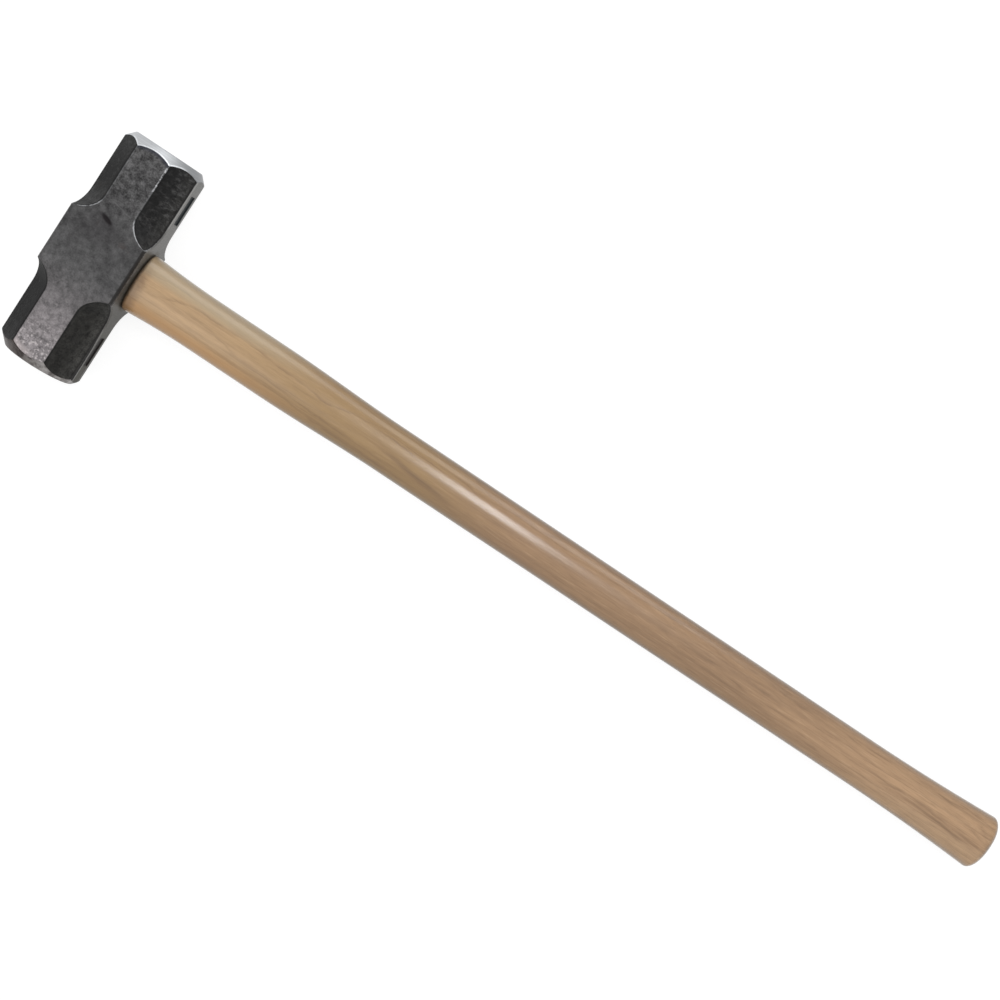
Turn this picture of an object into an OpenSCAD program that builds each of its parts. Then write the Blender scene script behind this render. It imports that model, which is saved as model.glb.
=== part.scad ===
// Double-faced sledge hammer: a forged head with octagonal arms on a wedged hickory handle.
// It lies on one cheek of the head. +X runs down the handle to the butt, +Y along the head
// and +Z out of the upper cheek. The origin is on the lower cheek, under the middle of the eye.

/* [Head] */
// Length of the head from striking face to striking face
head_length = 206; // [170:1:240]
// Width across the flats of the square bar that the head is forged from
head_width = 72; // [62:0.5:80]
// Length of the square block round the eye, measured along its whole corners
block_length = 51; // [44:0.5:60]
// Radius along the corners of the square block
block_corner_radius = 3; // [1:0.5:5]
// Leg on the cheeks of the chamfers that make each arm an octagon
cheek_chamfer = 20.5; // [14:0.5:24]
// Leg of the same chamfers on the top and the underside
top_chamfer = 23; // [14:0.5:25]
// Radius of the hollow in which each chamfer runs out at the block
runout_radius = 21; // [18:0.5:30]
// Diameter of each flat striking face
face_diameter = 62; // [50:0.5:66]
// Angle between the striking face and the ground bevel round it
face_bevel_angle = 48; // [35:1:55]

/* [Sunk panels under the arms] */
// Length of each panel along the arm
panel_length = 27; // [15:0.5:34]
// Width of each panel
panel_width = 11.5; // [6:0.5:16]
// Depth of each panel
panel_depth = 1.2; // [0.5:0.1:2.5]
// Distance from the striking face to the near end of the panel
panel_setback = 20; // [12:0.5:24]

/* [Eye] */
// Length of the oval eye at its waist, along the head
eye_length = 44; // [38:0.5:45]
// Width of the oval eye at its waist, across the head
eye_width = 31; // [27:0.5:33]
// Height of the waist above the underside of the head
eye_waist_height = 26; // [15:0.5:40]
// Growth of the half width from the waist to the top mouth
eye_top_flare = 1.8; // [0.5:0.1:3]
// Growth of the half width from the waist to the mouth that the handle enters
eye_under_flare = 0.8; // [0.2:0.1:1.8]
// Clearance between the eye and the tongue of the handle
eye_clearance = 0.15; // [0.05:0.05:0.4]

/* [Handle] */
// Overall length of the hammer, from the top of the head to the butt
overall_length = 915; // [600:5:1000]
// Depth of the end of the tongue and its wedges below the top of the head
tongue_recess = 0.5; // [0.2:0.1:3]
// Width of the shoulder against the underside of the head
shoulder_width = 53.5; // [53:0.5:60]
// Thickness of the shoulder
shoulder_thickness = 40; // [39:0.5:46]
// Radius round the edge of the shoulder that bears on the head
shoulder_rounding = 2.5; // [1:0.5:3]
// Length over which the shoulder draws in to the neck
shoulder_length = 65; // [40:1:90]
// Width of the neck
neck_width = 47.5; // [42:0.5:52]
// Thickness of the neck
neck_thickness = 36; // [32:0.5:40]
// Length of the even neck
neck_length = 70; // [30:1:110]
// Length over which the neck draws in to the shaft
neck_taper_length = 115; // [60:1:150]
// Width at the start of the long shaft
shaft_width = 42.8; // [38:0.2:46]
// Thickness at the start of the long shaft
shaft_thickness = 33.5; // [30:0.5:37]
// Width of the grip, where the shaft is slimmest
grip_width = 41.2; // [36:0.2:44]
// Thickness of the grip
grip_thickness = 32; // [28:0.5:35]
// Length of the swell at the butt
swell_length = 125; // [80:1:160]
// Width that the swell would reach at the tip of the butt
butt_width = 49; // [44:0.5:56]
// Thickness that the swell would reach at the tip of the butt
butt_thickness = 38; // [34:0.5:44]
// Height of the rounded end of the butt
dome_height = 9; // [5:0.5:14]
// Squareness of the oval section: 2 is an ellipse, more is fuller
section_squareness = 2.2; // [2:0.1:3]

/* [Timber wedge] */
// Length of the timber wedge
timber_length = 50; // [36:1:56]
// Thickness of the timber wedge at its driven end
timber_head = 8; // [5:0.5:10]
// Thickness of the timber wedge at its tip
timber_tip = 2; // [1.5:0.1:3]
// Depth of the saw kerf beyond the tip of the timber wedge
kerf_allowance = 5; // [2:0.5:6]
// Clearance on each side of every wedge
wedge_clearance = 0.05; // [0.02:0.01:0.1]

/* [Steel wedges] */
// Length of each steel wedge
steel_length = 30; // [20:1:34]
// Width of each steel wedge, across the timber wedge
steel_width = 23; // [16:0.5:25]
// Thickness of each steel wedge at its driven end
steel_head = 4.5; // [3:0.1:6]
// Thickness of each steel wedge at its tip
steel_tip = 1.4; // [1.2:0.1:2]
// Distance between the two steel wedges
steel_spacing = 23; // [16:0.5:25]
// Number of barbs along each face of a steel wedge
barb_count = 4; // [2:1:6]
// Depth of the step behind each barb
barb_depth = 0.35; // [0.1:0.05:0.5]

/* [Hidden] */

// Fineness of round surfaces
$fn = 96;
// Sides of the handle's loft, and its steps along each curved stretch
loft_sides = 48;
rounding_steps = 4;
curve_steps = 9;
shaft_steps = 4;
dome_steps = 8;
// Fullness of the butt's rounded end: 1 is a plain ellipse, less is squarer
dome_fullness = 0.8;
// Room by which a cutting solid passes the face that it opens
cut_over = 1;

// Stations along the handle's axis, which crosses the head's axis at x = 0
axis_height = head_width / 2;
top_x = -head_width / 2;
under_x = head_width / 2;
tongue_x = top_x + tongue_recess;
waist_x = under_x - eye_waist_height;
exposed_length = overall_length - head_width;

// Distances below the underside of the head
neck_end = shoulder_length + neck_length;
shaft_start = neck_end + neck_taper_length;
swell_start = exposed_length - swell_length;
dome_start = exposed_length - dome_height;

// Sections of the handle: width along the head, then thickness
shoulder = [shoulder_width, shoulder_thickness];
neck = [neck_width, neck_thickness];
shaft = [shaft_width, shaft_thickness];
grip = [grip_width, grip_thickness];
butt = [butt_width, butt_thickness];

// An arm facet lies across a corner of the bar: the slant of its normal towards the cheek, the
// depth that it takes off the corner, its distance from the head's axis, and the distance from
// the block's corner to the full facet
facet_slant = atan(cheek_chamfer / top_chamfer);
facet_depth = cheek_chamfer * cos(facet_slant);
facet_offset = head_width / 2 * (cos(facet_slant) + sin(facet_slant)) - facet_depth;
runout_length = sqrt(pow(runout_radius, 2) - pow(runout_radius - facet_depth, 2));
facet_start = block_length / 2 + runout_length;

function mix(a, b, share) = a + (b - a) * share;
function ease_in(share) = share * share;
function ease_out(share) = 1 - ease_in(1 - share);
function ease_both(share) = share * share * (3 - 2 * share);

// Half width of the eye at station x: two tapers that meet at the waist
function eye_half_width(x) = eye_width / 2 + (x < waist_x
    ? eye_top_flare * (waist_x - x) / (waist_x - top_x)
    : eye_under_flare * (x - waist_x) / (under_x - waist_x));

// Section of the tongue at station x, inside the eye
function tongue_section(x) =
    let (half = eye_half_width(x))
    2 * [half * eye_length / eye_width - eye_clearance, half - eye_clearance];

// Section of the handle at a distance below the head
function handle_section(down) =
    down < shoulder_length ? mix(shoulder, neck, ease_out(down / shoulder_length))
    : down < neck_end ? neck
    : down < shaft_start ? mix(neck, shaft, ease_both((down - neck_end) / neck_taper_length))
    : down < swell_start ? mix(shaft, grip, (down - shaft_start) / (swell_start - shaft_start))
    : mix(grip, butt, ease_in((down - swell_start) / swell_length));

// Evenly spaced distances from start, up to but not including end
function steps(start, end, count) = [for (i = [0 : count - 1]) mix(start, end, i / count)];

// A closed oval of the given section in the plane at station x
function oval(x, section, squareness) = [
    for (i = [0 : loft_sides - 1])
        let (turn = 360 * i / loft_sides, power = 2 / squareness)
        [x,
         section[0] / 2 * sign(cos(turn)) * pow(abs(cos(turn)), power),
         axis_height + section[1] / 2 * sign(sin(turn)) * pow(abs(sin(turn)), power)]
];

function tongue_rings() = [for (x = [tongue_x, waist_x, under_x]) oval(x, tongue_section(x), 2)];

function shoulder_rings() = [
    for (turn = steps(0, 90, rounding_steps))
        let (down = shoulder_rounding * (1 - cos(turn)), inset = shoulder_rounding * (1 - sin(turn)))
        oval(under_x + down, handle_section(down) - 2 * [inset, inset], section_squareness)
];

function shaft_rings() =
    let (downs = concat(
        steps(shoulder_rounding, shoulder_length, curve_steps),
        [shoulder_length],
        steps(neck_end, shaft_start, curve_steps),
        steps(shaft_start, swell_start, shaft_steps),
        steps(swell_start, dome_start, curve_steps)))
    [for (down = downs) oval(under_x + down, handle_section(down), section_squareness)];

function dome_rings() = [
    for (i = [0 : dome_steps - 1])
        let (turn = 90 * i / dome_steps, down = dome_start + dome_height * sin(turn))
        oval(under_x + down, handle_section(down) * pow(cos(turn), dome_fullness), section_squareness)
];

// A solid lofted through rings of equal size, closed by a fan to a point at each end
module loft(rings, first_tip, last_tip) {
    sides = len(rings[0]);
    ring_count = len(rings);
    corners = [for (ring = rings) each ring];
    first = len(corners);
    last = first + 1;
    walls = [
        for (r = [0 : ring_count - 2], i = [0 : sides - 1])
            let (j = (i + 1) % sides, a = r * sides, b = a + sides)
            each [[a + i, b + j, a + j], [a + i, b + i, b + j]]
    ];
    end = (ring_count - 1) * sides;
    caps = [
        for (i = [0 : sides - 1])
            let (j = (i + 1) % sides)
            each [[first, i, j], [last, end + j, end + i]]
    ];
    polyhedron(concat(corners, [first_tip, last_tip]), concat(walls, caps));
}

// The bar that the head is forged from, along Y, with rounded corners
module square_bar() {
    flat = head_width - 2 * block_corner_radius;
    translate([0, head_length / 2, axis_height])
        rotate([90, 0, 0])
            linear_extrude(head_length) {
                square([head_width, flat], center = true);
                square([flat, head_width], center = true);
                for (side_x = [-1, 1], side_y = [-1, 1])
                    translate([side_x * flat / 2, side_y * flat / 2])
                        circle(block_corner_radius);
            }
}

// The turned form of both ground ends: flat faces inside conical bevels
module ground_ends() {
    face_radius = face_diameter / 2;
    outer_radius = head_width;
    bevel_reach = (outer_radius - face_radius) * tan(face_bevel_angle);
    half = head_length / 2;
    translate([0, 0, axis_height])
        rotate([-90, 0, 0])
            rotate_extrude()
                polygon([
                    [0, -half],
                    [face_radius, -half],
                    [outer_radius, bevel_reach - half],
                    [outer_radius, half - bevel_reach],
                    [face_radius, half],
                    [0, half]
                ]);
}

// What one chamfer takes off the corner of one arm, with its hollow run-out at the block.
// The corner lies along +X here and the arm along +Y.
module facet_cut() {
    reach = 2 * head_width;
    translate([facet_offset, facet_start, -reach / 2])
        cube([reach, head_length, reach]);
    translate([facet_offset + runout_radius, facet_start, -reach / 2])
        cylinder(h = reach, r = runout_radius);
}

// The oval eye, narrowest at its waist and open at both mouths
module eye() {
    stations = [top_x - cut_over, waist_x, under_x + cut_over];
    translate([0, 0, axis_height])
        scale([1, eye_length / eye_width, 1])
            rotate([0, 90, 0])
                rotate_extrude()
                    polygon(concat(
                        [[0, stations[0]]],
                        [for (x = stations) [eye_half_width(x), x]],
                        [[0, stations[2]]]));
}

// The sunk panel in the underside of the arm along +Y
module sunk_panel() {
    translate([
        under_x - panel_depth,
        head_length / 2 - panel_setback - panel_length,
        axis_height - panel_width / 2
    ])
        cube([panel_depth + cut_over, panel_length, panel_width]);
}

// The space of a wedge, along +X from the end of the tongue and thick along Y. Its taper runs on
// past the driven end, and below the tip it goes on as an even slot.
module wedge_space(length, head, tip, clearance, slot) {
    slope = (head - tip) / length / 2;
    top_half = head / 2 + slope * cut_over + clearance;
    tip_half = tip / 2 + clearance;
    upper = [[-cut_over, top_half], [length, tip_half], [length + slot, tip_half]];
    lower = [for (i = [len(upper) - 1 : -1 : 0]) [upper[i][0], -upper[i][1]]];
    polygon(concat(upper, lower));
}

// The space of the timber wedge, right across the tongue
module timber_space(clearance, slot) {
    across = 2 * eye_length;
    translate([tongue_x, across / 2, axis_height])
        rotate([90, 0, 0])
            linear_extrude(across)
                wedge_space(timber_length, timber_head, timber_tip, clearance, slot);
}

// The slots for both steel wedges, open at the end of the tongue
module steel_spaces() {
    across = steel_width + 2 * wedge_clearance;
    for (side = [-1, 1])
        translate([tongue_x, side * steel_spacing / 2, axis_height - across / 2])
            linear_extrude(across)
                wedge_space(steel_length, steel_head, steel_tip, wedge_clearance, wedge_clearance);
}

// A steel wedge: each face is a row of barbs whose crests lie on the flat taper
module steel_wedge(side) {
    pitch = steel_length / barb_count;
    function half_at(down) = mix(steel_head, steel_tip, down / steel_length) / 2;
    face = [
        for (i = [0 : barb_count - 1])
            each [
                [i * pitch, half_at(i * pitch)],
                [(i + 1) * pitch, half_at((i + 1) * pitch) - barb_depth]
            ]
    ];
    last = len(face) - 1;
    other_face = [for (i = [last : -1 : 0]) [face[i][0], -face[i][1]]];
    translate([tongue_x, side * steel_spacing / 2, axis_height - steel_width / 2])
        linear_extrude(steel_width)
            polygon(concat(face, other_face));
}

module hammer_head() {
    color([0.2, 0.2, 0.21])
        difference() {
            intersection() {
                square_bar();
                ground_ends();
            }
            translate([0, 0, axis_height])
                for (top = [0, 1], back = [0, 1], arm = [0, 1])
                    mirror([top, 0, 0])
                        mirror([0, 0, back])
                            mirror([0, arm, 0])
                                rotate([0, -facet_slant, 0])
                                    facet_cut();
            eye();
            for (arm = [0, 1])
                mirror([0, arm, 0])
                    sunk_panel();
        }
}

module handle() {
    color([0.73, 0.6, 0.45])
        difference() {
            loft(
                concat(tongue_rings(), shoulder_rings(), shaft_rings(), dome_rings()),
                [tongue_x, 0, axis_height],
                [under_x + exposed_length, 0, axis_height]);
            timber_space(wedge_clearance, kerf_allowance);
            steel_spaces();
        }
}

module timber_wedge() {
    color([0.82, 0.7, 0.52])
        difference() {
            intersection() {
                loft(tongue_rings(), [tongue_x, 0, axis_height], [under_x, 0, axis_height]);
                timber_space(0, 0);
            }
            steel_spaces();
        }
}

module steel_wedge_left() {
    color([0.55, 0.55, 0.56])
        steel_wedge(1);
}

module steel_wedge_right() {
    color([0.55, 0.55, 0.56])
        steel_wedge(-1);
}

hammer_head();
handle();
timber_wedge();
steel_wedge_left();
steel_wedge_right();
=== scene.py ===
"""Looks of a double-faced sledge hammer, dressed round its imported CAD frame.

Shapes are worked out in millimetres, measured from the crossing of the head's axis (along Y) and
the handle's axis (along X), and handed to Blender in metres in the CAD frame.
"""

import itertools
import math

import bmesh
import bpy
import numpy as np
from mathutils import Matrix, Vector


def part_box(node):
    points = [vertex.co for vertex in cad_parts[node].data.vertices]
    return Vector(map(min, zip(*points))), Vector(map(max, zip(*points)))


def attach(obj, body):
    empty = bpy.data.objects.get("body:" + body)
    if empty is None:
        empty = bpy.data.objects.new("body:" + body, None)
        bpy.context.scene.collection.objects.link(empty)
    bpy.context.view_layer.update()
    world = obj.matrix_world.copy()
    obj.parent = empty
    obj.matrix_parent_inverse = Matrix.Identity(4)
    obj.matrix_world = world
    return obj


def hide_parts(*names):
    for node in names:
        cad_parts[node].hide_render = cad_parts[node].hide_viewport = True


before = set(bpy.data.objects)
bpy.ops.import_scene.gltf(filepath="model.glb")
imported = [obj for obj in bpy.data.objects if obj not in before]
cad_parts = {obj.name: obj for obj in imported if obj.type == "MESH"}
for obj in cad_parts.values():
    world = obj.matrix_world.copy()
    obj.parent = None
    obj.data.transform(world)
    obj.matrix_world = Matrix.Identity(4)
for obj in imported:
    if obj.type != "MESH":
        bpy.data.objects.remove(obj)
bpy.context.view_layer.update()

MM = 0.001


def box_mm(node):
    """Lowest and highest corner of a CAD node in millimetres."""
    return [np.array(corner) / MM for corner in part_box(node)]


# The head: its box from the frame, its forms as in the CAD source
head_low, head_high = box_mm("hammer_head")
HALF_WIDTH = (head_high[2] - head_low[2]) / 2
HALF_LENGTH = (head_high[1] - head_low[1]) / 2
AXIS_Z = (head_high[2] + head_low[2]) / 2
BLOCK_HALF = 25.5
CHEEK_CHAMFER = 20.5
TOP_CHAMFER = 23.0
RUNOUT_RADIUS = 21.0
FACE_RADIUS = 31.0
BEVEL_ANGLE = math.radians(48)
PANEL_LENGTH = 27.0
PANEL_WIDTH = 11.5
PANEL_DEPTH = 1.2
PANEL_MIDDLE = HALF_LENGTH - 20.0 - PANEL_LENGTH / 2

FACET_SLANT = math.atan(CHEEK_CHAMFER / TOP_CHAMFER)
FACET_DEPTH = CHEEK_CHAMFER * math.cos(FACET_SLANT)
FACET_OFFSET = HALF_WIDTH * (math.cos(FACET_SLANT) + math.sin(FACET_SLANT)) - FACET_DEPTH
RUNOUT_LENGTH = math.sqrt(RUNOUT_RADIUS**2 - (RUNOUT_RADIUS - FACET_DEPTH) ** 2)
FACET_START = BLOCK_HALF + RUNOUT_LENGTH

# The eye: oval, with a waist between its two mouths
EYE_LENGTH = 44.0
EYE_WIDTH = 31.0
EYE_WAIST_X = HALF_WIDTH - 26.0
EYE_TOP_FLARE = 1.8
EYE_UNDER_FLARE = 0.8
EYE_CLEARANCE = 0.15

# How softly the forged and the ground edges of the head are rounded
CORNER_BLEND = 5.0
EDGE_BLEND = 2.4
GROUND_BLEND = 0.5
FACE_EDGE = 0.5
# How far the bevel at the -Y end is ground off the head's axis, towards the underside
OFF_CENTRE = 2.2

# How finely the head is meshed: rings along it, points round it
RADIUS_HALVINGS = 26
BLOCK_STEP = 0.8
RUNOUT_RINGS = 60
ARM_STEP = 0.7
BEVEL_STEP = 0.3
BEVEL_REACH = 9.5
POINTS_PER_SIDE = 120
FACE_ROUNDING = (0.33, 0.67, 1.0)
FACE_SHARES = (0.96, 0.88, 0.76, 0.6, 0.4, 0.2)
EYE_SIDES = 160
CUT_OVERSHOOT = 2

# The forged skin: waves as (height, size, seed), then pebbles, which stand taller on the -Y arm
WAVES = ((0.16, 26.0, 1), (0.06, 9.0, 2))
PEBBLE_SIZE = 2.2
PEBBLE_HEIGHT = 0.035
ROUGH_HEIGHT = 0.05
PIT_SIZE = 7.0
PIT_LEVEL = 0.62
PIT_SLOPE = 0.7

# Edges sharper than these angles stay sharp in the shading, in degrees
HEAD_SHARP = 40
HANDLE_SHARP = 50

# The handle: sections are width along the head, then thickness
handle_low, handle_high = box_mm("handle")
TONGUE_X = handle_low[0]
EXPOSED_LENGTH = handle_high[0] - HALF_WIDTH
SHOULDER = np.array([53.5, 40.0])
NECK = np.array([47.5, 36.0])
SHAFT = np.array([42.8, 33.5])
GRIP = np.array([41.2, 32.0])
BUTT = np.array([49.0, 38.0])
SHOULDER_END = 65.0
NECK_END = 135.0
SHAFT_START = 250.0
SWELL_START = EXPOSED_LENGTH - 125.0
DOME_HEIGHT = 9.0
DOME_FULLNESS = 0.8
SECTION_SQUARENESS = 2.2
SHOULDER_ROUNDING = 2.5
SHAVING_DEPTH = 0.1
SHAVING_SIZE = np.array([90.0, 17.0, 17.0])
# The saw kerf is open at both sides of the tongue, past the edges of its timber wedge
KERF_STRETCH = 1.08

# How finely the handle is meshed
HANDLE_SIDES = 144
TONGUE_RINGS = 30
END_SHARES = np.array([0.02, 0.25, 0.5, 0.75, 0.94])
ROUNDING_RINGS = 6
SHAFT_STEP = 2.5
DOME_RINGS = 30


def smooth_noise(points, size, seed):
    """Noise from -1 to 1 at points (..., 3), with features of the given size or sizes."""
    place = np.asarray(points) / size
    cell = np.floor(place).astype(np.int64)
    share = place - cell
    share = share * share * (3 - 2 * share)
    total = np.zeros(place.shape[:-1])
    for corner in itertools.product((0, 1), repeat=3):
        key = cell + np.array(corner)
        mixed = key[..., 0] * 73856093 ^ key[..., 1] * 19349663 ^ key[..., 2] * 83492791
        mixed = (mixed + seed * 1013904223) & 0x7FFFFFFF
        mixed = ((mixed ^ (mixed >> 15)) * 739987) & 0x7FFFFFFF
        mixed = ((mixed ^ (mixed >> 13)) * 362437) & 0x7FFFFFFF
        value = ((mixed >> 8) & 0xFFFF) / 32767.5 - 1
        total += value * np.prod(np.where(corner, share, 1 - share), axis=-1)
    return total


def ramp(value, low, high):
    """A smooth step from 0 at low to 1 at high."""
    share = np.clip((value - low) / (high - low), 0, 1)
    return share * share * (3 - 2 * share)


def soft_min(a, b, blend):
    """The smaller of two depths, rounded over where they are nearly equal."""
    share = np.maximum(blend - np.abs(a - b), 0) / blend
    return np.minimum(a, b) - share * share * blend / 4


def tube_object(name, rings, first_tip, last_tip):
    """A closed mesh object through rings (n, m, 3) in millimetres, with a fan at each end."""
    ring_count, sides = rings.shape[:2]
    corners = np.concatenate([rings.reshape(-1, 3), [first_tip, last_tip]])
    first, last = len(corners) - 2, len(corners) - 1
    row = np.arange(ring_count - 1)[:, None] * sides
    here = np.arange(sides)
    there = (here + 1) % sides
    walls = np.stack(
        [row + here, row + here + sides, row + there + sides, row + there], axis=-1
    ).reshape(-1, 4)
    end = (ring_count - 1) * sides
    caps = [(first, i, j) for i, j in zip(here.tolist(), there.tolist())]
    caps += [(last, end + j, end + i) for i, j in zip(here.tolist(), there.tolist())]
    mesh = bpy.data.meshes.new(name)
    mesh.from_pydata(((corners + [0, 0, AXIS_Z]) * MM).tolist(), [], walls.tolist() + caps)
    mesh.update()
    made = bpy.data.objects.new(name, mesh)
    bpy.context.scene.collection.objects.link(made)
    return made


def cut(piece, cutter):
    """Takes the cutter's space out of a piece, and removes the cutter."""
    modifier = piece.modifiers.new("cut", "BOOLEAN")
    modifier.operation = "DIFFERENCE"
    modifier.solver = "MANIFOLD"
    modifier.object = cutter
    graph = bpy.context.evaluated_depsgraph_get()
    uncut, piece_mesh = piece.data, bpy.data.meshes.new_from_object(piece.evaluated_get(graph))
    piece.modifiers.clear()
    piece.data = piece_mesh
    bpy.data.meshes.remove(uncut)
    bpy.data.objects.remove(cutter)


def places_mm(mesh):
    """Vertex places in millimetres, measured from the crossing of the two axes."""
    places = np.empty(len(mesh.vertices) * 3, np.float32)
    mesh.vertices.foreach_get("co", places)
    return places.reshape(-1, 3).astype(float) / MM - [0, 0, AXIS_Z]


def store(mesh, name, values):
    """Keeps one number per vertex for the material to read."""
    attribute = mesh.attributes.new(name, "FLOAT", "POINT")
    attribute.data.foreach_set("value", np.asarray(values, np.float32))


def shade(mesh, sharp_angle):
    """Smooth shading, broken along edges that are sharper than the angle."""
    mesh.polygons.foreach_set("use_smooth", np.ones(len(mesh.polygons), bool))
    mesh.set_sharp_from_angle(angle=math.radians(sharp_angle))


def facet_offset(y):
    """Distance of the arm facets from the head's axis, growing along the run-outs at the block."""
    reach = np.clip(FACET_START - np.abs(y), 0, RUNOUT_RADIUS)
    return FACET_OFFSET + RUNOUT_RADIUS - np.sqrt(RUNOUT_RADIUS**2 - reach**2)


def bevel_centre(y):
    """Where the axis of the ground bevel crosses X, at each end of the head."""
    return np.where(y < 0, OFF_CENTRE, 0.0)


def head_depths(x, y, z):
    """Depths below the cheeks, the top and underside, the facets and the ground bevels."""
    ring = np.hypot(x - bevel_centre(y), z)
    x, y, z = np.abs(x), np.abs(y), np.abs(z)
    facet = facet_offset(y) - math.cos(FACET_SLANT) * x - math.sin(FACET_SLANT) * z
    bevel = (FACE_RADIUS - ring) * math.sin(BEVEL_ANGLE) + (HALF_LENGTH - y) * math.cos(BEVEL_ANGLE)
    return HALF_WIDTH - z, HALF_WIDTH - x, facet, bevel


def panel_depth(x, y, z):
    """Distance inside the edge of the sunk panels under the arms, negative outside them."""
    inside = np.minimum(
        PANEL_LENGTH / 2 - np.abs(np.abs(y) - PANEL_MIDDLE), PANEL_WIDTH / 2 - np.abs(z)
    )
    return np.where(x > 0, inside, -PANEL_LENGTH)


def head_radius(angle, y, relief):
    """Distance from the head's axis to its skin, found by halving."""
    low, high = np.zeros_like(angle * y), np.full_like(angle * y, 2 * HALF_WIDTH)
    for _ in range(RADIUS_HALVINGS):
        radius = (low + high) / 2
        cheek, top, facet, bevel = head_depths(
            radius * np.cos(angle), y, radius * np.sin(angle)
        )
        forged = soft_min(soft_min(cheek, top, CORNER_BLEND), facet, EDGE_BLEND)
        inside = soft_min(forged - relief, bevel, GROUND_BLEND) > 0
        low, high = np.where(inside, radius, low), np.where(inside, high, radius)
    return radius


# Forging dents on the upper cheek: place, half length, half width, turn from X, depth
CHEEK_DENTS = [
    (-3.5, 30.5, 6.5, 1.8, -0.35, 0.75),
    (-7.0, 28.0, 8.0, 4.5, -0.35, 0.25),
    (-16.6, 17.7, 1.4, 1.2, 0.0, 0.25),
    (9.0, -12.0, 5.0, 2.5, 0.9, 0.15),
    (-6.0, 62.0, 6.0, 3.0, 0.3, 0.2),
]


def cheek_dents(places):
    """Depth of the forging dents."""
    x, y, z = np.moveaxis(places, -1, 0)
    total = np.zeros_like(x)
    for at_x, at_y, length, width, turn, depth in CHEEK_DENTS:
        along = (x - at_x) * math.cos(turn) + (y - at_y) * math.sin(turn)
        across = (y - at_y) * math.cos(turn) - (x - at_x) * math.sin(turn)
        total += depth * np.exp(-((along / length) ** 2) - (across / width) ** 2)
    return np.where(z > 0, total, 0)


def head_relief(places):
    """How far the forged skin lies below the true form: waves, pebbles, pits and dents."""
    x, y, z = np.moveaxis(places, -1, 0)
    waves = sum(
        height * (1 + smooth_noise(places, size, seed)) for height, size, seed in WAVES
    )
    rough_arm = ramp(-y, 30.0, 75.0)
    pebble_height = PEBBLE_HEIGHT + ROUGH_HEIGHT * rough_arm
    pebbles = pebble_height * (1 + smooth_noise(places, PEBBLE_SIZE, 3))
    pits = PIT_SLOPE * np.maximum(smooth_noise(places, PIT_SIZE, 4) - PIT_LEVEL, 0)
    relief = waves + pebbles + pits + cheek_dents(places)
    ground_strip = ramp(np.abs(x), HALF_WIDTH - 2.5, HALF_WIDTH - 1.0)
    sunk = PANEL_DEPTH * ramp(panel_depth(x, y, z), -0.3, 0.4)
    return relief * (1 - ground_strip) + sunk * ramp(x, 0.8 * HALF_WIDTH, 0.9 * HALF_WIDTH)


def square_angles(per_side):
    """Angles of points that are evenly spaced along the sides of a square."""
    along = np.arange(per_side) * 2 / per_side - 1
    return np.concatenate([np.arctan(along) + side * math.pi / 2 for side in range(4)])


def head_stations():
    """Places along the head for its rings, close together at the run-outs and the bevels."""
    bevel_start = HALF_LENGTH - BEVEL_REACH
    runout = FACET_START - RUNOUT_RADIUS * np.sin(np.linspace(math.pi / 2, 0, RUNOUT_RINGS))
    half = np.concatenate([
        np.arange(BLOCK_STEP / 2, runout[0] - BEVEL_STEP, BLOCK_STEP),
        runout,
        np.arange(FACET_START + ARM_STEP, bevel_start, ARM_STEP),
        np.arange(bevel_start, HALF_LENGTH - FACE_EDGE, BEVEL_STEP),
        [HALF_LENGTH - FACE_EDGE],
    ])
    return np.concatenate([-half[::-1], half])


def face_profile():
    """Radius and distance from the eye of the rings that round off and close a striking face."""
    bevel_end = np.array([FACE_RADIUS + FACE_EDGE / math.tan(BEVEL_ANGLE), HALF_LENGTH - FACE_EDGE])
    corner = np.array([FACE_RADIUS, HALF_LENGTH])
    flat_start = np.array([FACE_RADIUS - FACE_EDGE, HALF_LENGTH])
    rounding = [
        (1 - t) ** 2 * bevel_end + 2 * t * (1 - t) * corner + t * t * flat_start
        for t in FACE_ROUNDING
    ]
    flat = [(flat_start[0] * share, HALF_LENGTH) for share in FACE_SHARES]
    return np.array([*rounding, *flat])


def eye_half_width(x):
    """Half width of the eye at stations along the handle's axis."""
    to_top = (EYE_WAIST_X - x) / (EYE_WAIST_X + HALF_WIDTH)
    to_under = (x - EYE_WAIST_X) / (HALF_WIDTH - EYE_WAIST_X)
    flare = np.where(x < EYE_WAIST_X, EYE_TOP_FLARE * to_top, EYE_UNDER_FLARE * to_under)
    return EYE_WIDTH / 2 + flare


def oval_rings(stations, sections, squareness, sides):
    """Ovals across X: (n, sides, 3) from n stations and n sections of width and thickness."""
    turn = -np.arange(sides) * 2 * math.pi / sides
    power = 2 / squareness
    across = np.sign(np.cos(turn)) * np.abs(np.cos(turn)) ** power
    upward = np.sign(np.sin(turn)) * np.abs(np.sin(turn)) ** power
    stations, sections = np.asarray(stations, float), np.asarray(sections, float)
    return np.stack(
        [
            np.repeat(stations[:, None], sides, axis=1),
            sections[:, :1] / 2 * across,
            sections[:, 1:] / 2 * upward,
        ],
        axis=-1,
    )


def eye_cutter():
    """The eye's space, reaching past both mouths."""
    stations = np.array([-HALF_WIDTH - CUT_OVERSHOOT, EYE_WAIST_X, HALF_WIDTH + CUT_OVERSHOOT])
    width = 2 * eye_half_width(stations)
    sections = np.stack([width * EYE_LENGTH / EYE_WIDTH, width], axis=-1)
    rings = oval_rings(stations, sections, 2, EYE_SIDES)
    return tube_object("eye_cutter", rings, (stations[0], 0, 0), (stations[2], 0, 0))


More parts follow.
